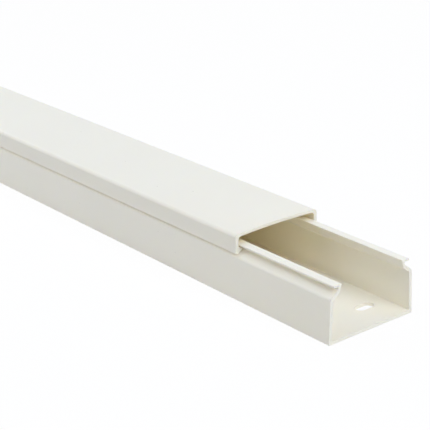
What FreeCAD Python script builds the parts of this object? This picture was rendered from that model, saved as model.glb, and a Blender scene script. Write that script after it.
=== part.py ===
"""Cord cover raceway: a straight length of two-part PVC trunking, 40 x 25 mm, sold 1 m long.

The base is a channel that is screwed to the wall through punched slots in its floor. Each wall ends
in a sloped shoulder, a thin neck that leans inwards and a lip that points outwards. The cover is a
slightly crowned plate with two short legs, whose hooks clip under the lips and can slide along them.

Axes: +X across the raceway, +Y along it, +Z up. The origin is the centre of the base's underside.
The front end is the one at -Y. All sizes are in millimetres.
"""
import FreeCAD, Part
import math
import os

import Sketcher
from FreeCAD import Vector

SIZES = {
    # Overall section and length
    "length": 1000.0,
    "width": 40.0,
    "height": 25.8,
    "wall": 1.2,
    "wall_lean": 0.6,
    "floor": 1.2,
    # Base: sloped shoulder at the top of each wall, its crease this far below the cover's top
    "shoulder_depth": 9.1,
    "shoulder_inset": 3.4,
    "shoulder_rise": 2.6,
    # Base: neck and lip above the shoulder
    "neck_lean": 0.4,
    "neck_rise": 1.35,
    "neck_thickness": 1.0,
    "lip_inset": 2.1,
    "lip_droop": 0.1,
    "lip_thickness": 0.8,
    # Base: screw slots across the floor, by turns right and left of its centre line
    "slot_width": 4.2,
    "slot_length": 8.0,
    "slot_offset": 9.0,
    "slot_end": 12.5,
    "right_slots": 5,
    # Cover: plate, legs and hooks
    "cover_inset": 0.35,
    "cover_crown": 0.6,
    "plate_thickness": 1.1,
    "leg_thickness": 1.4,
    "shoulder_reveal": 1.2,
    "hook_reach": 1.65,
    "hook_fall": 0.6,
    "clip_gap": 0.2,
    "cover_setback": 49.0,
    # Rounded edges
    "cover_radius": 1.5,
    "ceiling_radius": 1.1,
    "shoulder_radius": 1.4,
    "root_radius": 0.3,
    "edge_radius": 0.3,
    "lip_radius": 0.32,
    "hook_radius": 0.2,
}

# Two corners this close are the same corner when edges are picked for rounding
SAME_PLACE = 1e-4

# How far the first slot on the left is from the front end: midway between the first two on the right
LEFT_SLOT_END = "Sizes.slot_end + (Sizes.length / 2 - Sizes.slot_end) / (Sizes.right_slots - 1)"

# Where the right shoulder's outer crease is, for both sections
CREASE_ACROSS = "Sizes.width / 2 - Sizes.wall_lean"
CREASE_HEIGHT = "Sizes.height - Sizes.shoulder_depth"

# How a sketch numbers the points of an edge, and its own origin
START, END, CENTRE = range(1, 4)
ORIGIN = (-1, START)


def fill_sheet(doc):
    """Write the driving sizes into the document's spreadsheet, one alias each."""
    sheet = doc.addObject("Spreadsheet::Sheet", "Sizes")
    for row, (alias, value) in enumerate(SIZES.items(), start=1):
        sheet.set(f"A{row}", alias)
        sheet.set(f"B{row}", str(value))
        sheet.setAlias(f"B{row}", alias)
    doc.recompute()
    return sheet


def origin_feature(body, role):
    """Return the plane or axis of the body's own origin that has this role."""
    for feature in body.Origin.OriginFeatures:
        if feature.Role == role:
            return feature
    raise RuntimeError(f"{body.Label} has no {role}")


def new_sketch(body, name, role):
    """Make a sketch on one of the body's own origin planes."""
    sketch = body.newObject("Sketcher::SketchObject", name)
    sketch.AttachmentSupport = [(origin_feature(body, role), "")]
    sketch.MapMode = "FlatFace"
    return sketch


def draw_outline(sketch, points, bends=None):
    """Draw a closed outline and join its ends. Edge i runs from point i to the next point.

    An edge is straight, or an arc through the middle point that bends gives for it.
    """
    bends = bends or {}
    count = len(points)
    ends = []
    for index, point in enumerate(points):
        start = Vector(*point, 0)
        finish = Vector(*points[(index + 1) % count], 0)
        if index in bends:
            edge = Part.Arc(start, Vector(*bends[index], 0), finish)
        else:
            edge = Part.LineSegment(start, finish)
        sketch.addGeometry(edge)
        # A sketch keeps every arc anticlockwise, so a clockwise one comes back with its ends swapped
        swapped = sketch.getPoint(index, START).distanceToPoint(start) > SAME_PLACE
        ends.append((END, START) if swapped else (START, END))
    for index in range(count):
        after = (index + 1) % count
        sketch.addConstraint(Sketcher.Constraint("Coincident", index, ends[index][1], after, ends[after][0]))


def align(sketch, kind, edges):
    """Make each of these edges Horizontal or Vertical."""
    for edge in edges:
        sketch.addConstraint(Sketcher.Constraint(kind, edge))


def drawn_distance(sketch, kind, first, second):
    """Return how far apart the two things are as drawn: along X, along Y, or from point to edge."""
    start = sketch.getPoint(*first)
    if kind == "Distance":
        edge = sketch.Geometry[second[0]]
        along = edge.EndPoint - edge.StartPoint
        return along.cross(start - edge.StartPoint).Length / along.Length
    apart = sketch.getPoint(*second) - start
    return apart.x if kind == "DistanceX" else apart.y


def measure(sketch, kind, first, second, name, formula):
    """Tie the distance from one point to another, or to an edge, to the sheet."""
    value = drawn_distance(sketch, kind, first, second)
    index = sketch.addConstraint(Sketcher.Constraint(kind, *first, *second, value))
    sketch.renameConstraint(index, name)
    sketch.setExpression(f"Constraints.{name}", formula)


def check_sketch(sketch):
    """Stop when a sketch isn't solved or still has free sizes."""
    if sketch.solve() != 0 or not sketch.FullyConstrained:
        raise RuntimeError(f"{sketch.Label} isn't fully constrained")


def shoulder_points():
    """Return the outer crease of the right shoulder and the foot of its neck."""
    crease = (SIZES["width"] / 2 - SIZES["wall_lean"], SIZES["height"] - SIZES["shoulder_depth"])
    foot = (crease[0] - SIZES["shoulder_inset"], crease[1] + SIZES["shoulder_rise"])
    return crease, foot


def lip_underside():
    """Return the two ends of the right lip's underside: at its neck and at its tip."""
    foot = shoulder_points()[1]
    root = (foot[0] - SIZES["neck_lean"], foot[1] + SIZES["neck_rise"])
    tip = (SIZES["width"] / 2 - SIZES["lip_inset"], root[1] - SIZES["lip_droop"])
    return root, tip


def draw_base_half(sketch):
    """Draw the right half of the base's section, from the centre line to the wall and its lip.

    Returned are its roundings: a radius each, and the edges whose starting corners get it.
    """
    half = SIZES["width"] / 2
    wall = SIZES["wall"]
    floor = SIZES["floor"]
    crease, foot = shoulder_points()
    root, tip = lip_underside()
    lip_top = tip[1] + SIZES["lip_thickness"]
    neck_inside = root[0] - SIZES["neck_thickness"]
    points = [
        (0, 0),
        (half, 0),
        crease,
        foot,
        root,
        tip,
        (tip[0], lip_top),
        (neck_inside, lip_top + SIZES["lip_droop"]),
        (neck_inside + SIZES["neck_lean"], foot[1] - wall),
        (crease[0] - wall, crease[1] - wall / 2),
        (half - wall, floor),
        (0, floor),
    ]
    draw_outline(sketch, points)
    underside, side, shoulder, neck, lip_low, lip_tip = range(6)
    lip_high, neck_in, shoulder_in, side_in, floor_top, centre = range(6, 12)

    align(sketch, "Horizontal", [underside, floor_top])
    align(sketch, "Vertical", [lip_tip, centre])
    sketch.addConstraint(Sketcher.Constraint("Coincident", underside, START, *ORIGIN))
    for outer, inner in [(side, side_in), (shoulder, shoulder_in), (neck, neck_in), (lip_low, lip_high)]:
        sketch.addConstraint(Sketcher.Constraint("Parallel", outer, inner))

    measure(sketch, "DistanceX", ORIGIN, (side, START), "half_width", "Sizes.width / 2")
    measure(sketch, "DistanceX", (shoulder, START), (side, START), "wall_lean", "Sizes.wall_lean")
    measure(sketch, "DistanceY", ORIGIN, (shoulder, START), "crease_height", CREASE_HEIGHT)
    measure(sketch, "DistanceX", (neck, START), (shoulder, START), "foot_inset", "Sizes.shoulder_inset")
    measure(sketch, "DistanceY", (shoulder, START), (neck, START), "foot_rise", "Sizes.shoulder_rise")
    measure(sketch, "DistanceX", (lip_low, START), (neck, START), "neck_lean", "Sizes.neck_lean")
    measure(sketch, "DistanceY", (neck, START), (lip_low, START), "neck_rise", "Sizes.neck_rise")
    measure(sketch, "DistanceX", (lip_tip, START), (side, START), "tip_inset", "Sizes.lip_inset")
    measure(sketch, "DistanceY", (lip_tip, START), (lip_low, START), "tip_droop", "Sizes.lip_droop")
    measure(sketch, "DistanceY", (lip_tip, START), (lip_tip, END), "tip_height", "Sizes.lip_thickness")
    measure(sketch, "Distance", (neck, START), (neck_in,), "neck_thickness", "Sizes.neck_thickness")
    measure(sketch, "Distance", (neck, START), (shoulder_in,), "shoulder_thickness", "Sizes.wall")
    measure(sketch, "Distance", (side, START), (side_in,), "side_thickness", "Sizes.wall")
    measure(sketch, "DistanceY", ORIGIN, (centre, START), "floor_thickness", "Sizes.floor")
    return {
        "shoulder_bends": ("Sizes.shoulder_radius", [shoulder]),
        "inner_bends": ("Sizes.root_radius", [neck, lip_low, shoulder_in, side_in, floor_top]),
        "outer_edges": ("Sizes.edge_radius", [side, neck_in]),
        "lip_tips": ("Sizes.lip_radius", [lip_tip, lip_high]),
    }


def draw_cover_half(sketch):
    """Draw the right half of the cover's section: crowned plate, leg, and the hook under the lip.

    Returned are its roundings: a radius each, and the edges whose starting corners get it.
    """
    half = SIZES["width"] / 2 - SIZES["cover_inset"]
    height = SIZES["height"]
    plate = SIZES["plate_thickness"]
    edge_height = height - SIZES["cover_crown"]
    leg_inside = half - SIZES["leg_thickness"]
    crease, foot = shoulder_points()
    leg_bottom = crease[1] + SIZES["shoulder_reveal"]
    hook_top = lip_underside()[1][1] - SIZES["clip_gap"]
    hook_end = leg_inside - SIZES["hook_reach"]
    hook_low = leg_bottom + SIZES["hook_reach"] * SIZES["shoulder_rise"] / SIZES["shoulder_inset"]
    points = [
        (0, height),
        (half, edge_height),
        (half, leg_bottom),
        (leg_inside, leg_bottom),
        (hook_end, hook_low),
        (hook_end, hook_top - SIZES["hook_fall"]),
        (leg_inside, hook_top),
        (leg_inside, edge_height - plate),
        (0, height - plate),
    ]
    top, side, leg_end, hook_under, hook_tip, hook_over, side_in, ceiling, centre = range(9)
    # A shallow arc is three quarters of its rise up at half its width
    mid_height = height - 0.25 * SIZES["cover_crown"]
    bends = {top: (half / 2, mid_height), ceiling: (leg_inside / 2, mid_height - plate)}
    draw_outline(sketch, points, bends)
    shoulder = sketch.addGeometry(Part.LineSegment(Vector(*crease, 0), Vector(*foot, 0)), True)

    align(sketch, "Horizontal", [leg_end])
    align(sketch, "Vertical", [side, hook_tip, side_in, centre])
    sketch.addConstraint(Sketcher.Constraint("Vertical", *ORIGIN, centre, END))
    sketch.addConstraint(Sketcher.Constraint("Vertical", *ORIGIN, top, CENTRE))
    sketch.addConstraint(Sketcher.Constraint("Coincident", top, CENTRE, ceiling, CENTRE))
    sketch.addConstraint(Sketcher.Constraint("Parallel", shoulder, hook_under))

    measure(sketch, "DistanceY", ORIGIN, (centre, END), "height", "Sizes.height")
    measure(sketch, "DistanceX", ORIGIN, (side, START), "half_width", "Sizes.width / 2 - Sizes.cover_inset")
    measure(sketch, "DistanceY", (side, START), (centre, END), "crown", "Sizes.cover_crown")
    measure(sketch, "DistanceX", ORIGIN, (shoulder, START), "crease_across", CREASE_ACROSS)
    measure(sketch, "DistanceY", ORIGIN, (shoulder, START), "crease_height", CREASE_HEIGHT)
    measure(sketch, "DistanceX", (shoulder, END), (shoulder, START), "foot_inset", "Sizes.shoulder_inset")
    measure(sketch, "DistanceY", (shoulder, START), (shoulder, END), "foot_rise", "Sizes.shoulder_rise")
    measure(sketch, "DistanceY", (shoulder, START), (leg_end, START), "reveal", "Sizes.shoulder_reveal")
    measure(sketch, "Distance", (hook_under, START), (shoulder,), "hook_gap", "Sizes.clip_gap")
    measure(sketch, "DistanceX", (hook_over, START), (hook_over, END), "hook_reach", "Sizes.hook_reach")
    hook_rise = "Sizes.shoulder_rise + Sizes.neck_rise - Sizes.lip_droop - Sizes.clip_gap"
    measure(sketch, "DistanceY", (shoulder, START), (hook_over, END), "hook_height", hook_rise)
    measure(sketch, "DistanceY", (hook_over, START), (hook_over, END), "hook_fall", "Sizes.hook_fall")
    measure(sketch, "DistanceX", (side_in, START), (side, START), "leg_thickness", "Sizes.leg_thickness")
    measure(sketch, "DistanceY", (centre, START), (centre, END), "plate_thickness", "Sizes.plate_thickness")
    return {
        "top_corners": ("Sizes.cover_radius", [side]),
        "ceiling_corners": ("Sizes.ceiling_radius", [ceiling]),
        "hook_roots": ("Sizes.root_radius", [side_in]),
        "leg_ends": ("Sizes.edge_radius", [leg_end]),
        "hook_tips": ("Sizes.hook_radius", [hook_tip, hook_over]),
    }


def draw_slot(sketch, side, end_distance):
    """Draw a slot that runs across the floor, to the right (1) or left (-1) of the centre line.

    end_distance is the formula for how far the slot is from the front end.
    """
    radius = SIZES["slot_width"] / 2
    middle = SIZES["slot_offset"] * side
    reach = SIZES["slot_length"] / 2 - radius
    row = SIZES["slot_end"] - SIZES["length"] / 2
    left = Vector(middle - reach, row, 0)
    right = Vector(middle + reach, row, 0)
    up = Vector(0, radius, 0)
    outwards = Vector(radius, 0, 0)
    slot = [
        sketch.addGeometry(Part.LineSegment(left - up, right - up)),
        sketch.addGeometry(Part.Arc(right - up, right + outwards, right + up)),
        sketch.addGeometry(Part.LineSegment(right + up, left + up)),
        sketch.addGeometry(Part.Arc(left + up, left - outwards, left - up)),
    ]
    low, right_end, high, left_end = slot
    for line, end, arc, arc_end in [
        (low, END, right_end, START),
        (high, START, right_end, END),
        (high, END, left_end, START),
        (low, START, left_end, END),
    ]:
        sketch.addConstraint(Sketcher.Constraint("Tangent", line, end, arc, arc_end))
    sketch.addConstraint(Sketcher.Constraint("Equal", right_end, left_end))
    align(sketch, "Horizontal", [low])

    inner, outer = (left_end, right_end) if side > 0 else (right_end, left_end)
    reach = "(Sizes.slot_length / 2 - Sizes.slot_width / 2)"
    for arc, sign, name in [(inner, "-", "inner_end"), (outer, "+", "outer_end")]:
        ends = [ORIGIN, (arc, CENTRE)] if side > 0 else [(arc, CENTRE), ORIGIN]
        measure(sketch, "DistanceX", *ends, name, f"Sizes.slot_offset {sign} {reach}")
    measure(sketch, "DistanceY", (low, START), (left_end, CENTRE), "radius", "Sizes.slot_width / 2")
    measure(sketch, "DistanceY", (inner, CENTRE), ORIGIN, "row", f"Sizes.length / 2 - ({end_distance})")


def pad_and_mirror(body, sketch):
    """Pull the half section along the whole length, both ways from the middle, and mirror it."""
    pad = body.newObject("PartDesign::Pad", f"{body.Label}_half")
    pad.Profile = sketch
    pad.SideType = "Symmetric"
    pad.setExpression("Length", "Sizes.length")
    mirror = body.newObject("PartDesign::Mirrored", f"{body.Label}_both_halves")
    mirror.Originals = [pad]
    mirror.MirrorPlane = (origin_feature(body, "YZ_Plane"), [""])
    body.Tip = mirror
    body.Document.recompute()
    return mirror


def long_edges(shape, corner):
    """Name the edges that run along the length from a corner of the section and from its mirror image."""
    x, z = corner.x, corner.y
    names = []
    for index, edge in enumerate(shape.Edges, start=1):
        first, last = edge.firstVertex().Point, edge.lastVertex().Point
        runs_along = abs(first.x - last.x) < SAME_PLACE and abs(first.z - last.z) < SAME_PLACE
        if runs_along and abs(abs(first.x) - x) < SAME_PLACE and abs(first.z - z) < SAME_PLACE:
            names.append(f"Edge{index}")
    if len(names) != 2:
        raise RuntimeError(f"{len(names)} edges at {x:.2f}, {z:.2f} instead of 2")
    return names


def round_edges(body, sketch, roundings):
    """Round the long edges that the section's corners become, with a fillet for each radius."""
    for name, (radius, edges) in roundings.items():
        below = body.Tip
        corners = [sketch.getPoint(edge, START) for edge in edges]
        fillet = body.newObject("PartDesign::Fillet", name)
        fillet.Base = (below, [found for corner in corners for found in long_edges(below.Shape, corner)])
        fillet.setExpression("Radius", radius)
        body.Tip = fillet
        body.Document.recompute()


def cut_slot_row(body, name, side, end_distance, count):
    """Punch a row of slots through the floor, evenly from one end to the other.

    end_distance and count are formulas: the first slot's distance from its end, and how many there are.
    """
    sketch = new_sketch(body, f"{name}_slot", "XY_Plane")
    draw_slot(sketch, side, end_distance)
    body.Document.recompute()
    check_sketch(sketch)
    pocket = body.newObject("PartDesign::Pocket", f"{name}_first_slot")
    pocket.Profile = sketch
    pocket.SideType = "Symmetric"
    pocket.setExpression("Length", "Sizes.floor * 3")
    body.Tip = pocket
    body.Document.recompute()
    pattern = body.newObject("PartDesign::LinearPattern", f"{name}_slots")
    pattern.Originals = [pocket]
    pattern.Direction = (origin_feature(body, "Y_Axis"), [""])
    pattern.Mode = "Extent"
    pattern.setExpression("Length", f"Sizes.length - 2 * ({end_distance})")
    pattern.setExpression("Occurrences", count)
    body.Tip = pattern
    body.Document.recompute()


def cut_screw_slots(body):
    """Punch both rows of screw slots, and stop unless they remove what they should."""
    solid_volume = body.Shape.Volume
    cut_slot_row(body, "right", 1, "Sizes.slot_end", "Sizes.right_slots")
    cut_slot_row(body, "left", -1, LEFT_SLOT_END, "Sizes.right_slots - 1")
    width, length = SIZES["slot_width"], SIZES["slot_length"]
    slot_area = width * (length - width) + math.pi * width**2 / 4
    expected = (2 * SIZES["right_slots"] - 1) * slot_area * SIZES["floor"]
    removed = solid_volume - body.Shape.Volume
    if abs(removed - expected) > 0.01 * expected:
        raise RuntimeError(f"the slots remove {removed:.1f} mm3 instead of {expected:.1f}")


def make_base(doc):
    """Build the channel: floor, walls, shoulders, necks, lips and screw slots."""
    body = doc.addObject("PartDesign::Body", "base")
    sketch = new_sketch(body, "base_section", "XZ_Plane")
    roundings = draw_base_half(sketch)
    doc.recompute()
    check_sketch(sketch)
    pad_and_mirror(body, sketch)
    round_edges(body, sketch, roundings)
    cut_screw_slots(body)
    return body


def make_cover(doc):
    """Build the cover, slid back along the base by its setback."""
    body = doc.addObject("PartDesign::Body", "cover")
    sketch = new_sketch(body, "cover_section", "XZ_Plane")
    roundings = draw_cover_half(sketch)
    doc.recompute()
    check_sketch(sketch)
    pad_and_mirror(body, sketch)
    round_edges(body, sketch, roundings)
    body.setExpression(".Placement.Base.y", "Sizes.cover_setback")
    doc.recompute()
    return body


def check_document(doc, bodies):
    """Stop when any object failed or any body isn't one valid solid."""
    for item in doc.Objects:
        if "Invalid" in item.State or "Error" in item.State:
            raise RuntimeError(f"{item.Label} failed: {item.State}")
    for body in bodies:
        shape = body.Shape
        if shape.isNull() or not shape.isValid() or len(shape.Solids) != 1:
            raise RuntimeError(f"{body.Label} isn't one valid solid")


def write_parts(bodies):
    """Write each body to parts/LABEL.step and print its size."""
    os.makedirs("parts", exist_ok=True)
    for body in bodies:
        body.Shape.exportStep(f"parts/{body.Label}.step")
        box = body.Shape.BoundBox
        print(
            f"{body.Label}: {box.XLength:.2f} x {box.YLength:.2f} x {box.ZLength:.2f} mm,"
            f" {body.Shape.Volume / 1000:.2f} cm3"
        )


def main():
    """Build the document, check it and write its parts."""
    doc = FreeCAD.newDocument("raceway")
    fill_sheet(doc)
    bodies = [make_base(doc), make_cover(doc)]
    doc.recompute()
    check_document(doc, bodies)
    clash = bodies[0].Shape.common(bodies[1].Shape).Volume
    if clash > 0:
        raise RuntimeError(f"base and cover overlap by {clash:.2f} mm3")
    write_parts(bodies)


main()
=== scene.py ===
"""Looks of a cord cover raceway: a slotted PVC channel and the clip-on cover slid back along it.

Both are extrusions. Each is drawn as the right half of its section, rounded at its corners, pulled
along its length and mirrored. Sizes are in millimetres unless a docstring says metres, and the frame
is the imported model's: +X across the raceway, +Y along it, +Z up, with the origin at the centre of the
channel's underside.
"""
from __future__ import annotations

import logging
import math
from abc import ABC, abstractmethod
from collections.abc import Callable, Sequence
from dataclasses import dataclass, field
from enum import Enum
from typing import Any

import bmesh
import bpy
from mathutils import Euler, Matrix, Vector

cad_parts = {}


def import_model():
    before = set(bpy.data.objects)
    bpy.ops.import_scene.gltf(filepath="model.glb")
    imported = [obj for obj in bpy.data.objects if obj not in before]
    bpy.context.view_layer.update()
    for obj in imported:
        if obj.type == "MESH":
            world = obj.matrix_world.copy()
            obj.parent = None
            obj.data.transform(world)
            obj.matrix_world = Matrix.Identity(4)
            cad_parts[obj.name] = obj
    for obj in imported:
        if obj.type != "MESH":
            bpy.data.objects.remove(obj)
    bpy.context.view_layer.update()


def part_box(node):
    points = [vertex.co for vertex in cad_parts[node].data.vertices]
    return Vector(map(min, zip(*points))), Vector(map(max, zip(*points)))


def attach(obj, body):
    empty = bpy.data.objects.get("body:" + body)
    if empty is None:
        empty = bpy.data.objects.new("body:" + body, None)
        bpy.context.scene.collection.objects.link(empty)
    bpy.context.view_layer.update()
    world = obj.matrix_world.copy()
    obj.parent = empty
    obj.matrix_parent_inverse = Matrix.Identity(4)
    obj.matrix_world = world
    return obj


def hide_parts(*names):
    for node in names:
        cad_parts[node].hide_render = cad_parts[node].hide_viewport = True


log = logging.getLogger("raceway")

MM = 0.001
WHITE = (1.0, 1.0, 1.0, 1.0)

# Pixels across the photograph, and the camera's sensor in millimetres
PHOTO_WIDTH = 430
SENSOR_WIDTH = 36.0
# The coarsest step that a rounded corner is drawn with, in millimetres, and the fewest steps in one
ARC_STEP = 0.12
ARC_STEPS_LEAST = 3
# Vertices closer than this are one, in metres
MERGE_DISTANCE = 1e-6
# A face whose unit normal reaches this far along an axis faces that way
FACING = 0.9
# Radians that the Wave texture turns through in one unit of its scaled coordinate
WAVE_RADIANS = 20.0


class Plane(Enum):
    """Plane that an outline is drawn on, by the two axes that its places are measured along."""

    SECTION = (Vector((1, 0, 0)), Vector((0, 0, 1)))
    FLOOR = (Vector((1, 0, 0)), Vector((0, 1, 0)))


class Finish(Enum):
    """Index of each finish among a piece's materials."""

    SKIN = 0
    CUT = 1


@dataclass(frozen=True)
class Corner:
    """One corner of a flat outline.

    Attributes:
        place: Where the corner is on its plane.
        radius: Radius that it is rounded to, or 0 where it stays sharp.
    """

    place: Vector
    radius: float = 0.0


def linear(hex_colour: str) -> tuple[float, float, float, float]:
    """Turns an sRGB colour into the linear one that shaders take, by the sRGB standard's formula.

    Args:
        hex_colour: Six hex digits after a hash.

    Returns:
        Red, green, blue and an alpha of 1.
    """
    channels = [int(hex_colour[i : i + 2], 16) / 255 for i in (1, 3, 5)]
    red, green, blue = (c / 12.92 if c <= 0.04045 else ((c + 0.055) / 1.055) ** 2.4 for c in channels)
    return red, green, blue, 1.0


def inner_corner(before: Vector, here: Vector, after: Vector, first: float, second: float) -> Vector:
    """Finds where the inner faces of two walls meet, on the left of their outer faces.

    Args:
        before: Where the first wall's outer face starts.
        here: Where the two outer faces meet.
        after: Where the second wall's outer face ends.
        first: Thickness of the first wall.
        second: Thickness of the second wall.

    Returns:
        The inner corner, on the same plane.
    """
    run_in, run_out = (here - before).normalized(), (after - here).normalized()
    left_in, left_out = Vector((-run_in.y, run_in.x)), Vector((-run_out.y, run_out.x))
    along = (second - first * left_in.dot(left_out)) / run_in.dot(left_out)
    return here + left_in * first + run_in * along


def select_vertices(obj: bpy.types.Object, wanted: Callable[[Vector], bool]) -> None:
    """Selects, in edit mode, the vertices whose place is wanted, and nothing else.

    Args:
        obj: The mesh object that is being edited.
        wanted: Says whether a vertex at this place is selected.
    """
    bpy.ops.mesh.select_mode(type="VERT")
    bpy.ops.mesh.select_all(action="DESELECT")
    mesh = bmesh.from_edit_mesh(obj.data)
    for vertex in mesh.verts:
        vertex.select = wanted(vertex.co)
    mesh.select_flush_mode()
    bmesh.update_edit_mesh(obj.data)


def select_faces(obj: bpy.types.Object, wanted: Callable[[Vector, Vector], bool]) -> None:
    """Selects, in edit mode, the faces whose centre and normal are wanted, and nothing else.

    Args:
        obj: The mesh object that is being edited.
        wanted: Says whether a face with this centre and normal is selected.
    """
    bpy.ops.mesh.select_mode(type="FACE")
    bpy.ops.mesh.select_all(action="DESELECT")
    mesh = bmesh.from_edit_mesh(obj.data)
    mesh.normal_update()
    for face in mesh.faces:
        face.select = wanted(face.calc_center_median(), face.normal)
    mesh.select_flush_mode()
    bmesh.update_edit_mesh(obj.data)


def round_corner(obj: bpy.types.Object, place: Vector, turn: float, radius: float) -> None:
    """Rounds one corner of an outline that is being edited.

    Args:
        obj: The outline.
        place: Where the corner is, in metres.
        turn: How far the outline turns there, in radians.
        radius: The arc's radius.
    """
    select_vertices(obj, lambda at: (at - place).length < MERGE_DISTANCE)
    bpy.ops.mesh.bevel(
        offset=radius * MM * math.tan(turn / 2),
        offset_type="OFFSET",
        segments=max(ARC_STEPS_LEAST, math.ceil(radius * turn / ARC_STEP)),
        profile=0.5,
        affect="VERTICES",
        clamp_overlap=False,
    )


def draw_outline(name: str, corners: Sequence[Corner], plane: Plane) -> bpy.types.Object:
    """Draws a closed flat face by extruding one vertex from corner to corner and rounding the corners.

    Args:
        name: Name of the new object, which is left in edit mode.
        corners: The outline's corners in order.
        plane: The plane that it is drawn on.

    Returns:
        The object that holds the face.
    """
    across, up = plane.value
    places = [(across * corner.place.x + up * corner.place.y) * MM for corner in corners]
    bpy.ops.object.select_all(action="DESELECT")
    bpy.ops.mesh.primitive_plane_add(size=MM, location=(0, 0, 0))
    obj = bpy.context.object
    obj.name = name
    bpy.ops.object.mode_set(mode="EDIT")
    bpy.ops.mesh.select_mode(type="VERT")
    bpy.ops.mesh.select_all(action="SELECT")
    bpy.ops.mesh.merge(type="CENTER")
    bpy.ops.transform.translate(value=places[0])
    for start, end in zip(places, places[1:]):
        bpy.ops.mesh.extrude_vertices_move(TRANSFORM_OT_translate={"value": end - start})
    bpy.ops.mesh.select_all(action="SELECT")
    bpy.ops.mesh.edge_face_add()
    count = len(corners)
    for index, corner in enumerate(corners):
        if corner.radius > 0:
            here = places[index]
            turn = (here - places[index - 1]).angle(places[(index + 1) % count] - here)
            round_corner(obj, here, turn, corner.radius)
    bpy.ops.mesh.select_all(action="SELECT")
    bpy.ops.mesh.remove_doubles(threshold=MERGE_DISTANCE)
    return obj


def pull(way: Vector, steps: int) -> None:
    """Extrudes the face that was drawn, and is still being edited, into a solid.

    Args:
        way: How far and which way, in metres.
        steps: Number of equal stretches that it is pulled in.
    """
    bpy.ops.mesh.select_mode(type="FACE")
    bpy.ops.mesh.select_all(action="SELECT")
    for _ in range(steps):
        bpy.ops.mesh.extrude_region_move(TRANSFORM_OT_translate={"value": way / steps})
    bpy.ops.mesh.select_all(action="SELECT")
    bpy.ops.mesh.normals_make_consistent(inside=False)


def apply_modifier(obj: bpy.types.Object, kind: str, **settings: Any) -> None:
    """Adds a modifier to an object in object mode and applies it.

    Args:
        obj: The object.
        kind: The modifier's type.
        **settings: The modifier's settings by name.
    """
    bpy.ops.object.select_all(action="DESELECT")
    obj.select_set(True)
    bpy.context.view_layer.objects.active = obj
    modifier = obj.modifiers.new(kind.title(), kind)
    for name, value in settings.items():
        setattr(modifier, name, value)
    bpy.ops.object.modifier_apply(modifier=modifier.name)


def add_node(
    tree: bpy.types.NodeTree,
    kind: str,
    inputs: dict[str | int, Any] | None = None,
    **settings: Any,
) -> Any:
    """Adds a node with its settings and inputs.

    Args:
        tree: The node tree.
        kind: The node's type.
        inputs: What each input gets, by its name or number: a value, or an output to link from.
        **settings: The node's own settings by name.

    Returns:
        The node.
    """
    node = tree.nodes.new(kind)
    for name, value in settings.items():
        setattr(node, name, value)
    for key, value in (inputs or {}).items():
        if isinstance(value, bpy.types.NodeSocket):
            tree.links.new(value, node.inputs[key])
        else:
            node.inputs[key].default_value = value
    return node


@dataclass(frozen=True)
class Pvc:
    """The off-white plastic itself: a little light passes through its thin walls and comes out warmer.

    Attributes:
        name: The material's name.
        ior: Index of refraction.
        glow: Share of the light that goes under the surface.
        glow_depth: How far it goes there.
        glow_reach: How far red, green and blue go, as shares of that depth.
    """

    name: str
    ior: float = 1.54
    glow: float = 0.15
    glow_depth: float = 3.2
    glow_reach: tuple[float, float, float] = (1.0, 0.7, 0.28)

    def start(self) -> tuple[bpy.types.Material, bpy.types.ShaderNode]:
        """Begins a node material with what all of the plastic shares.

        Returns:
            The material and its shader.
        """
        material = bpy.data.materials.new(self.name)
        material.use_nodes = True
        shader = material.node_tree.nodes["Principled BSDF"]
        shader.inputs["IOR"].default_value = self.ior
        shader.inputs["Subsurface Weight"].default_value = self.glow
        shader.inputs["Subsurface Radius"].default_value = self.glow_reach
        shader.inputs["Subsurface Scale"].default_value = self.glow_depth * MM
        return material, shader


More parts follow.
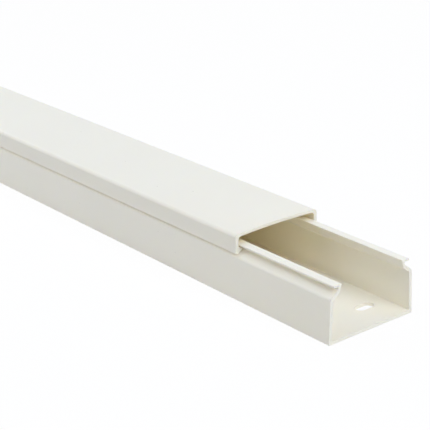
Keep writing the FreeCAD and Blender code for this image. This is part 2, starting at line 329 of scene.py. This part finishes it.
@dataclass(frozen=True)
class RigidPvc(Pvc):
    """Extruded rigid PVC, satin.

    The die leaves faint lines along the length that break up the gloss, the chalk filler a slightly
    uneven colour, and regrind a few dark specks. Real die lines are too fine to show, so they are drawn
    wider apart.

    Attributes:
        colour: Its usual colour.
        shade: Its colour where the filler is thicker.
        speck: Colour of the specks.
        roughness: Roughness of the skin on average.
        roughness_spread: How far the die lines take it up and down.
        line_pitch: Distance between die lines.
        line_length: Length over which a line changes.
        line_height: Height of the lines.
        line_layers: Number of finer layers in the lines.
        line_harshness: Strength of each finer layer against the one before.
        mottle_size: Size of a cloud of shade.
        mottle_layers: Number of finer layers in the clouds.
        mottle_harshness: Strength of each finer layer against the one before.
        speck_spacing: Distance from one speck to the next.
        speck_radius: Radius of a speck.
    """

    colour: str = "#f9f4e5"
    shade: str = "#f5f0e1"
    speck: str = "#a39b88"
    roughness: float = 0.42
    roughness_spread: float = 0.05
    line_pitch: float = 0.5
    line_length: float = 160.0
    line_height: float = 0.006
    line_layers: float = 2.0
    line_harshness: float = 0.6
    mottle_size: float = 45.0
    mottle_layers: float = 3.0
    mottle_harshness: float = 0.55
    speck_spacing: float = 9.0
    speck_radius: float = 0.28

    def make(self) -> bpy.types.Material:
        """Builds the node material.

        Returns:
            The material.
        """
        material, shader = self.start()
        tree = material.node_tree
        place = add_node(tree, "ShaderNodeTexCoord").outputs["Object"]
        across = 1 / (self.line_pitch * MM)
        along = 1 / (self.line_length * MM)
        lines_at = add_node(tree, "ShaderNodeMapping", {"Vector": place, "Scale": (across, along, across)})
        lines = add_node(
            tree,
            "ShaderNodeTexNoise",
            {
                "Vector": lines_at.outputs[0],
                "Scale": 1.0,
                "Detail": self.line_layers,
                "Roughness": self.line_harshness,
            },
        )
        mottle = add_node(
            tree,
            "ShaderNodeTexNoise",
            {
                "Vector": place,
                "Scale": 1 / (self.mottle_size * MM),
                "Detail": self.mottle_layers,
                "Roughness": self.mottle_harshness,
            },
        )
        shade = add_node(
            tree,
            "ShaderNodeMix",
            {"Factor": mottle.outputs[0], "A": linear(self.colour), "B": linear(self.shade)},
            data_type="RGBA",
        )
        tree.links.new(self.specks(tree, place, shade.outputs["Result"]), shader.inputs["Base Color"])
        gloss = add_node(
            tree,
            "ShaderNodeMapRange",
            {
                "Value": lines.outputs[0],
                "To Min": self.roughness - self.roughness_spread,
                "To Max": self.roughness + self.roughness_spread,
            },
        )
        tree.links.new(gloss.outputs[0], shader.inputs["Roughness"])
        bump = add_node(
            tree,
            "ShaderNodeBump",
            {"Height": lines.outputs[0], "Strength": 1.0, "Distance": self.line_height * MM},
        )
        tree.links.new(bump.outputs[0], shader.inputs["Normal"])
        return material

    def specks(
        self,
        tree: bpy.types.NodeTree,
        place: bpy.types.NodeSocket,
        under: bpy.types.NodeSocket,
    ) -> bpy.types.NodeSocket:
        """Scatters a few small dark specks over a colour.

        Args:
            tree: The material's node tree.
            place: The output that gives the place on the object.
            under: The output that gives the colour without specks.

        Returns:
            The output that gives the colour with specks.
        """
        cells = add_node(
            tree,
            "ShaderNodeTexVoronoi",
            {"Vector": place, "Scale": 1 / (self.speck_spacing * MM), "Randomness": 1.0},
            feature="F1",
        )
        near = add_node(
            tree,
            "ShaderNodeMapRange",
            {
                "Value": cells.outputs["Distance"],
                "From Min": 0.0,
                "From Max": self.speck_radius / self.speck_spacing,
                "To Min": 1.0,
                "To Max": 0.0,
            },
        )
        return add_node(
            tree,
            "ShaderNodeMix",
            {"Factor": near.outputs[0], "A": under, "B": linear(self.speck)},
            data_type="RGBA",
        ).outputs["Result"]


@dataclass(frozen=True)
class SawCutPvc(Pvc):
    """The same PVC where a fine saw has cut it: a little paler and duller, with faint tooth marks.

    Attributes:
        colour: Its colour.
        roughness: Its roughness.
        tooth_pitch: Distance from one tooth mark to the next.
        tooth_height: Height of the marks.
        tooth_wander: How far the marks stray from straight, in radians of their wave.
        tooth_layers: Number of finer layers in how they stray.
    """

    colour: str = "#f9f6ea"
    roughness: float = 0.6
    tooth_pitch: float = 0.69
    tooth_height: float = 0.01
    tooth_wander: float = 1.5
    tooth_layers: float = 2.0

    def make(self) -> bpy.types.Material:
        """Builds the node material.

        Returns:
            The material.
        """
        material, shader = self.start()
        tree = material.node_tree
        place = add_node(tree, "ShaderNodeTexCoord").outputs["Object"]
        marks = add_node(
            tree,
            "ShaderNodeTexWave",
            {
                "Vector": place,
                "Scale": math.tau / (WAVE_RADIANS * self.tooth_pitch * MM),
                "Distortion": self.tooth_wander,
                "Detail": self.tooth_layers,
            },
            bands_direction="Z",
        )
        bump = add_node(
            tree,
            "ShaderNodeBump",
            {"Height": marks.outputs["Fac"], "Strength": 1.0, "Distance": self.tooth_height * MM},
        )
        tree.links.new(bump.outputs[0], shader.inputs["Normal"])
        shader.inputs["Base Color"].default_value = linear(self.colour)
        shader.inputs["Roughness"].default_value = self.roughness
        return material


@dataclass
class Extrusion(ABC):
    """What the channel and the cover share: one half section pulled along the raceway and mirrored.

    Attributes:
        height: Height with the cover on, at its crown.
        start: Where the piece's front end is along the raceway, in metres.
        end: Where its back end is, in metres.
        width: Width of the channel's floor, across its sharp edges.
        shoulder_depth: How far the shoulder's outer crease lies below the crown.
        shoulder_inset: How far in the shoulder goes, from its crease to the neck.
        shoulder_rise: How far it rises on the way.
        wall_lean: How far the wall leans in, from its foot to the crease.
        neck_lean: How far the neck leans in, from its foot to the lip.
        neck_rise: Height of the neck.
        lip_inset: How far in the lip's tip lies from the floor's edge.
        lip_droop: How far the lip falls from its neck to its tip.
        clip_gap: Clearance between the cover's hook and the channel's lip and shoulder.
        edge_radius: Radius of the outer edges of the foot, the lip's bend and the cover's legs.
        root_radius: Radius of the bends at the neck, inside the walls and over the cover's hooks.
        stretch: Length of each of the equal stretches that the piece is pulled in.
        smooth_angle: Largest angle between two faces that are shaded as one, in degrees.
        name: Name of the piece's object.
        body: Node of the model that the piece stands for.
        material_slot: The model's slot that its material is for; not used.
    """

    height: float
    start: float
    end: float
    width: float = 40.0
    shoulder_depth: float = 9.1
    shoulder_inset: float = 3.4
    shoulder_rise: float = 2.6
    wall_lean: float = 0.6
    neck_lean: float = 0.4
    neck_rise: float = 1.35
    lip_inset: float = 2.1
    lip_droop: float = 0.1
    clip_gap: float = 0.2
    edge_radius: float = 0.3
    root_radius: float = 0.3
    stretch: float = 25.0
    smooth_angle: float = 25.0

    name: str = field(init=False, default="")
    body: str = field(init=False, default="")
    material_slot: str = field(init=False, default="")

    @property
    def crease(self) -> Vector:
        """Outer crease of the channel's right shoulder."""
        return Vector((self.width / 2 - self.wall_lean, self.height - self.shoulder_depth))

    @property
    def neck_foot(self) -> Vector:
        """Foot of the right neck, at the top of the shoulder."""
        return self.crease + Vector((-self.shoulder_inset, self.shoulder_rise))

    @property
    def lip_root(self) -> Vector:
        """Where the right lip's underside leaves its neck."""
        return self.neck_foot + Vector((-self.neck_lean, self.neck_rise))

    @property
    def lip_tip(self) -> Vector:
        """Lower edge of the right lip's tip."""
        return Vector((self.width / 2 - self.lip_inset, self.lip_root.y - self.lip_droop))

    @abstractmethod
    def half_section(self) -> list[Corner]:
        """Gives the corners of the right half of the section, with two on the centre line."""

    def build(self) -> bpy.types.Object:
        """Draws the half section, pulls it along the raceway and mirrors it.

        Returns:
            The solid, in object mode.
        """
        obj = draw_outline(self.name, self.half_section(), Plane.SECTION)
        bpy.ops.mesh.select_all(action="SELECT")
        bpy.ops.transform.translate(value=(0, self.start, 0))
        length = self.end - self.start
        pull(Vector((0, length, 0)), round(length / (self.stretch * MM)))
        # The half's faces on the centre plane would be left inside the whole
        select_faces(obj, lambda centre, normal: centre.x < MERGE_DISTANCE and abs(normal.x) > FACING)
        bpy.ops.mesh.delete(type="FACE")
        bpy.ops.object.mode_set(mode="OBJECT")
        apply_modifier(
            obj,
            "MIRROR",
            use_axis=(True, False, False),
            use_clip=True,
            merge_threshold=MERGE_DISTANCE,
        )
        bpy.ops.object.mode_set(mode="EDIT")
        bpy.ops.mesh.select_all(action="SELECT")
        bpy.ops.mesh.remove_doubles(threshold=MERGE_DISTANCE)
        bpy.ops.mesh.normals_make_consistent(inside=False)
        bpy.ops.object.mode_set(mode="OBJECT")
        return obj

    def dress(self, obj: bpy.types.Object, skin: bpy.types.Material, cut: bpy.types.Material) -> None:
        """Gives the piece its two finishes and its shading, and ties it to the model.

        Args:
            obj: The finished solid.
            skin: Material of the extruded surfaces.
            cut: Material of the sawn ends.
        """
        obj.data.materials.append(skin)
        obj.data.materials.append(cut)
        for face in obj.data.polygons:
            at_end = min(abs(face.center.y - self.start), abs(face.center.y - self.end)) < MERGE_DISTANCE
            face.material_index = (Finish.CUT if at_end else Finish.SKIN).value
        bpy.ops.object.select_all(action="DESELECT")
        obj.select_set(True)
        bpy.context.view_layer.objects.active = obj
        bpy.ops.object.shade_smooth_by_angle(angle=math.radians(self.smooth_angle))
        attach(obj, self.body)
        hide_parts(self.body)
        log.info("%s: %d faces", obj.name, len(obj.data.polygons))


@dataclass
class Channel(Extrusion):
    """The base that is screwed to the wall: floor, leaning walls, shoulders, necks, lips and slots.

    Attributes:
        wall: Thickness of the walls and shoulders.
        floor: Thickness of the floor.
        neck_thickness: Thickness of the necks.
        lip_thickness: Thickness of the lips.
        shoulder_radius: Outer radius of the bend from wall to shoulder.
        lip_radius: Radius of the edges of a lip's tip.
        slot_width: Width of a screw slot, along the raceway.
        slot_length: Length of a slot, across the raceway.
        slot_offset: How far a row of slots lies from the centre line.
        slot_end: How far the first and last slots on the right lie from the channel's ends.
        right_slots: Number of slots on the right, with one fewer midway between them on the left.
    """

    wall: float = 1.2
    floor: float = 1.2
    neck_thickness: float = 1.0
    lip_thickness: float = 0.8
    shoulder_radius: float = 1.4
    lip_radius: float = 0.32
    slot_width: float = 4.2
    slot_length: float = 8.0
    slot_offset: float = 9.0
    slot_end: float = 12.5
    right_slots: int = 5

    name: str = field(init=False, default="channel_extrusion")
    body: str = field(init=False, default="base")
    material_slot: str = field(init=False, default="base_pvc")

    def half_section(self) -> list[Corner]:
        """Draws the channel's right half.

        Returns:
            The corners from the centre of the underside, round the lip, to the centre of the floor.
        """
        centre, foot = Vector((0, 0)), Vector((self.width / 2, 0))
        crease, neck, root, tip = self.crease, self.neck_foot, self.lip_root, self.lip_tip
        root_radius, edge_radius = self.root_radius, self.edge_radius
        return [
            Corner(centre),
            Corner(foot, edge_radius),
            Corner(crease, self.shoulder_radius),
            Corner(neck, root_radius),
            Corner(root, root_radius),
            Corner(tip, self.lip_radius),
            Corner(tip + Vector((0, self.lip_thickness)), self.lip_radius),
            Corner(inner_corner(neck, root, tip, self.neck_thickness, self.lip_thickness), edge_radius),
            Corner(inner_corner(crease, neck, root, self.wall, self.neck_thickness), root_radius),
            Corner(inner_corner(foot, crease, neck, self.wall, self.wall), root_radius),
            Corner(inner_corner(centre, foot, crease, self.floor, self.wall), root_radius),
            Corner(Vector((0, self.floor))),
        ]

    def row_cutter(self, side: int, first: float, pitch: float, count: int) -> bpy.types.Object:
        """Draws a row of round-ended slots as one object of solids that pass through the floor.

        Args:
            side: 1 for the right of the centre line, -1 for the left.
            first: Where the first slot's centre is along the raceway.
            pitch: Distance from one slot to the next.
            count: Number of slots in the row.

        Returns:
            The object that holds the solids.
        """
        half_length, half_width = self.slot_length / 2, self.slot_width / 2
        corners = [
            Corner(Vector((self.slot_offset * side + x * half_length, first + y * half_width)), half_width)
            for x, y in [(-1, -1), (1, -1), (1, 1), (-1, 1)]
        ]
        cutter = draw_outline("slot_cutter", corners, Plane.FLOOR)
        # Each solid goes one floor's thickness past both faces of the floor
        bpy.ops.mesh.select_all(action="SELECT")
        bpy.ops.transform.translate(value=(0, 0, -self.floor * MM))
        pull(Vector((0, 0, 3 * self.floor * MM)), 1)
        bpy.ops.object.mode_set(mode="OBJECT")
        apply_modifier(
            cutter,
            "ARRAY",
            count=count,
            use_relative_offset=False,
            use_constant_offset=True,
            constant_offset_displace=(0, pitch * MM, 0),
        )
        return cutter

    def build(self) -> bpy.types.Object:
        """Builds the channel and punches its slots, which alternate right and left of the centre line.

        Returns:
            The solid, in object mode.
        """
        obj = super().build()
        first = self.start / MM + self.slot_end
        pitch = ((self.end - self.start) / MM - 2 * self.slot_end) / (self.right_slots - 1)
        rows = [(1, first, self.right_slots), (-1, first + pitch / 2, self.right_slots - 1)]
        for side, start, count in rows:
            cutter = self.row_cutter(side, start, pitch, count)
            apply_modifier(obj, "BOOLEAN", operation="DIFFERENCE", solver="EXACT", object=cutter)
            bpy.data.objects.remove(cutter)
        return obj


@dataclass
class Cover(Extrusion):
    """The clip-on cover: a crowned plate, two short legs and a hook under each lip.

    Attributes:
        cover_inset: How far in the cover's side lies from the floor's edge.
        crown: How far the top rises from its sides to its centre line.
        plate: Thickness of the plate.
        leg: Thickness of the legs.
        shoulder_reveal: How far above the shoulder's crease the legs end.
        hook_reach: How far in the hooks reach from the legs.
        hook_fall: How far a hook's upper face falls from the leg to its tip.
        cover_radius: Radius of the top's edges.
        ceiling_radius: Radius of the bends from ceiling to legs.
        hook_radius: Radius of the edges of a hook's tip.
        crown_steps: Number of straight steps in half of the crown.
    """

    cover_inset: float = 0.35
    crown: float = 0.6
    plate: float = 1.1
    leg: float = 1.4
    shoulder_reveal: float = 1.2
    hook_reach: float = 1.65
    hook_fall: float = 0.6
    cover_radius: float = 1.5
    ceiling_radius: float = 1.1
    hook_radius: float = 0.2
    crown_steps: int = 9

    name: str = field(init=False, default="cover_extrusion")
    body: str = field(init=False, default="cover")
    material_slot: str = field(init=False, default="cover_pvc")

    def crown_arc(self, depth: float, reach: float) -> list[Vector]:
        """Follows a crowned face.

        Args:
            depth: How far the face lies below the cover's top.
            reach: How far across it goes.

        Returns:
            The places along it, from the centre line outwards.
        """
        half = self.width / 2 - self.cover_inset
        radius = (half**2 + self.crown**2) / (2 * self.crown)
        centre = self.height - radius
        steps = [reach * step / self.crown_steps for step in range(self.crown_steps + 1)]
        return [Vector((x, centre + math.sqrt((radius - depth) ** 2 - x**2))) for x in steps]

    def half_section(self) -> list[Corner]:
        """Draws the cover's right half, whose hook clears the lip and the shoulder by the clip's gap.

        Returns:
            The corners from the ceiling's centre, round the leg and its hook, to the top's centre.
        """
        half = self.width / 2 - self.cover_inset
        inside = half - self.leg
        leg_bottom = self.crease.y + self.shoulder_reveal
        slope = self.shoulder_rise / self.shoulder_inset
        gap_up = self.clip_gap * math.hypot(1, slope)
        tip_across = inside - self.hook_reach
        root_height = self.lip_tip.y - self.clip_gap
        under_start = self.crease.x - (self.shoulder_reveal - gap_up) / slope
        under_end = self.crease.y + (self.crease.x - tip_across) * slope + gap_up
        ceiling = self.crown_arc(self.plate, inside)
        top = self.crown_arc(0.0, half)
        return [
            *(Corner(place) for place in ceiling[:-1]),
            Corner(ceiling[-1], self.ceiling_radius),
            Corner(Vector((inside, root_height)), self.root_radius),
            Corner(Vector((tip_across, root_height - self.hook_fall)), self.hook_radius),
            Corner(Vector((tip_across, under_end)), self.hook_radius),
            Corner(Vector((under_start, leg_bottom))),
            Corner(Vector((half, leg_bottom)), self.edge_radius),
            Corner(top[-1], self.cover_radius),
            *(Corner(place) for place in reversed(top[:-1])),
        ]


@dataclass(frozen=True)
class Softbox:
    """A rectangular lamp that is aimed at the raceway.

    Attributes:
        name: The lamp's name.
        place: Where it stands, in metres.
        aim: The point that it faces, in metres.
        size: Its two sides, in metres.
        power: Its power in watts.
        colour: Its colour.
    """

    name: str
    place: tuple[float, float, float]
    aim: tuple[float, float, float]
    size: tuple[float, float]
    power: float
    colour: str = "#ffffff"

    def make(self) -> None:
        """Adds the lamp to the scene, out of the camera's sight."""
        data = bpy.data.lights.new(self.name, "AREA")
        data.shape = "RECTANGLE"
        data.size, data.size_y = self.size
        data.energy = self.power
        data.color = linear(self.colour)[:3]
        lamp = bpy.data.objects.new(self.name, data)
        bpy.context.scene.collection.objects.link(lamp)
        lamp.visible_camera = False
        lamp.location = self.place
        facing = Vector(self.aim) - Vector(self.place)
        lamp.rotation_euler = facing.to_track_quat("-Z", "Y").to_euler()


@dataclass
class Studio:
    """White floor, even soft light and the camera.

    Attributes:
        floor_size: Side of the square floor, in metres.
        floor_gap: How far the floor lies below the raceway's underside.
        floor_colour: The floor's colour as far as it lights the raceway.
        floor_glow: How white the floor is to the camera by itself, where 1 is white; light adds the rest.
        sky_strength: Strength of the surroundings as far as they light the scene.
        bounces: How often light may bounce.
        camera_aim: The point that the camera faces, in metres.
        camera_distance: How far away the camera stands, in metres.
        azimuth: Its turn round the raceway, in degrees.
        elevation: Its angle above the floor, in degrees.
        roll: Its turn about its own axis, in degrees.
        focal_pixels: Its focal length in pixels of the photograph.
        lamps: The soft lamps.
    """

    floor_size: float = 40.0
    floor_gap: float = 0.1
    floor_colour: str = "#f6f6f6"
    floor_glow: float = 0.94
    sky_strength: float = 0.1
    bounces: int = 32
    camera_aim: tuple[float, float, float] = (-0.038901, -0.464005, 0.041897)
    camera_distance: float = 0.45
    azimuth: float = -38.1913
    elevation: float = 21.3163
    roll: float = -1.4729
    focal_pixels: float = 1338.07
    lamps: tuple[Softbox, ...] = (
        Softbox("overhead", (0.0, -0.35, 1.0), (0.0, -0.35, 0.0), (1.0, 1.0), 4.8, "#d5e4ff"),
        Softbox("front", (0.0, -2.2, 1.8), (0.0, -0.4, 0.0), (2.0, 1.6), 38.0, "#fcfbf7"),
        Softbox("left", (-0.8, 0.3, 0.8), (0.0, -0.2, 0.0), (0.8, 0.8), 3.7, "#f8f9ff"),
        Softbox("left_low", (-0.7, 0.6, 0.18), (0.0, 0.3, 0.0), (1.3, 0.25), 0.7, "#fff4f2"),
        Softbox("right", (0.9, -0.2, 0.6), (0.0, -0.4, 0.0), (0.8, 0.7), 1.7, "#e2eaff"),
        Softbox("back", (0.2, 1.6, 0.7), (0.0, 0.4, 0.0), (1.0, 0.6), 4.0),
    )

    def seen_directly(self, tree: bpy.types.NodeTree) -> bpy.types.NodeSocket:
        """Tells what is seen from what only lights the scene.

        Args:
            tree: The node tree of the material or the surroundings.

        Returns:
            The output that is 1 for what the camera sees, also in gloss and through the walls.
        """
        rays = add_node(tree, "ShaderNodeLightPath")
        mirrored = add_node(
            tree,
            "ShaderNodeMath",
            {0: rays.outputs["Is Camera Ray"], 1: rays.outputs["Is Glossy Ray"]},
            operation="MAXIMUM",
        )
        return add_node(
            tree,
            "ShaderNodeMath",
            {0: mirrored.outputs[0], 1: rays.outputs["Is Transmission Ray"]},
            operation="MAXIMUM",
        ).outputs[0]

    def make_floor(self) -> None:
        """Lays the white floor, a hair's breadth below the raceway's underside.

        It lights the raceway as plain white paper does. To the camera it is nearly white by itself, and
        the little light that it also takes keeps the raceway's soft shadow.
        """
        bpy.ops.object.select_all(action="DESELECT")
        bpy.ops.mesh.primitive_plane_add(size=self.floor_size, location=(0, 0, -self.floor_gap * MM))
        floor = bpy.context.object
        floor.name = "floor"
        material = bpy.data.materials.new("matt white paper")
        material.use_nodes = True
        tree = material.node_tree
        tree.nodes.remove(tree.nodes["Principled BSDF"])
        rest = 1.0 - self.floor_glow
        lit = add_node(tree, "ShaderNodeBsdfDiffuse", {"Color": linear(self.floor_colour)})
        shadow = add_node(tree, "ShaderNodeBsdfDiffuse", {"Color": (rest, rest, rest, 1.0)})
        glow = add_node(tree, "ShaderNodeEmission", {"Color": WHITE, "Strength": self.floor_glow})
        white = add_node(tree, "ShaderNodeAddShader", {0: shadow.outputs[0], 1: glow.outputs[0]})
        seen = add_node(
            tree,
            "ShaderNodeMixShader",
            {0: self.seen_directly(tree), 1: lit.outputs[0], 2: white.outputs[0]},
        )
        tree.links.new(seen.outputs[0], tree.nodes["Material Output"].inputs["Surface"])
        floor.data.materials.append(material)

    def make_sky(self) -> None:
        """Surrounds the scene with even light that the camera sees as white."""
        world = bpy.data.worlds.new("even white surroundings")
        world.use_nodes = True
        bpy.context.scene.world = world
        tree = world.node_tree
        tree.nodes.remove(tree.nodes["Background"])
        light = add_node(tree, "ShaderNodeBackground", {"Color": WHITE, "Strength": self.sky_strength})
        white = add_node(tree, "ShaderNodeBackground", {"Color": WHITE, "Strength": 1.0})
        seen = add_node(
            tree,
            "ShaderNodeMixShader",
            {0: self.seen_directly(tree), 1: light.outputs[0], 2: white.outputs[0]},
        )
        tree.links.new(seen.outputs[0], tree.nodes["World Output"].inputs["Surface"])

    def make_camera(self) -> None:
        """Places the camera at the photograph's angle."""
        data = bpy.data.cameras.new("camera")
        data.sensor_width = SENSOR_WIDTH
        data.lens = self.focal_pixels * SENSOR_WIDTH / PHOTO_WIDTH
        camera = bpy.data.objects.new("camera", data)
        bpy.context.scene.collection.objects.link(camera)
        # A camera that isn't turned looks straight down, 90 degrees from level
        level = Euler((math.radians(90 - self.elevation), 0, math.radians(self.azimuth))).to_matrix()
        turned = level @ Matrix.Rotation(math.radians(self.roll), 3, "Z")
        camera.rotation_euler = turned.to_euler()
        camera.location = Vector(self.camera_aim) + turned @ Vector((0, 0, self.camera_distance))
        bpy.context.scene.camera = camera

    def make(self) -> None:
        """Builds the floor, the light and the camera."""
        bpy.context.scene.view_settings.view_transform = "Standard"
        # Light that reaches far into a pale channel bounces more often than Blender's default of four times
        bpy.context.scene.cycles.max_bounces = self.bounces
        bpy.context.scene.cycles.diffuse_bounces = self.bounces
        self.make_floor()
        self.make_sky()
        self.make_camera()
        for lamp in self.lamps:
            lamp.make()


def main() -> None:
    """Loads the frame, builds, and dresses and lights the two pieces."""
    logging.basicConfig(level=logging.INFO, format="%(message)s")
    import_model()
    base_low, base_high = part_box("base")
    cover_low, cover_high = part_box("cover")
    height = cover_high.z / MM
    cut = SawCutPvc("saw-cut rigid PVC").make()
    channel_skin = RigidPvc("channel's rigid PVC").make()
    # The cover's plastic is painted a shade darker than the channel's. This is painted shade that stands in
    # for the dimmer light on the cover's side, not a different plastic.
    cover_skin_with_painted_shade = RigidPvc("cover's rigid PVC", colour="#f5f0e1", shade="#f1ecdd").make()
    for piece, skin in [
        (Channel(height, base_low.y, base_high.y), channel_skin),
        (Cover(height, cover_low.y, cover_high.y), cover_skin_with_painted_shade),
    ]:
        piece.dress(piece.build(), skin, cut)
    Studio().make()


if __name__ == "__main__":
    main()
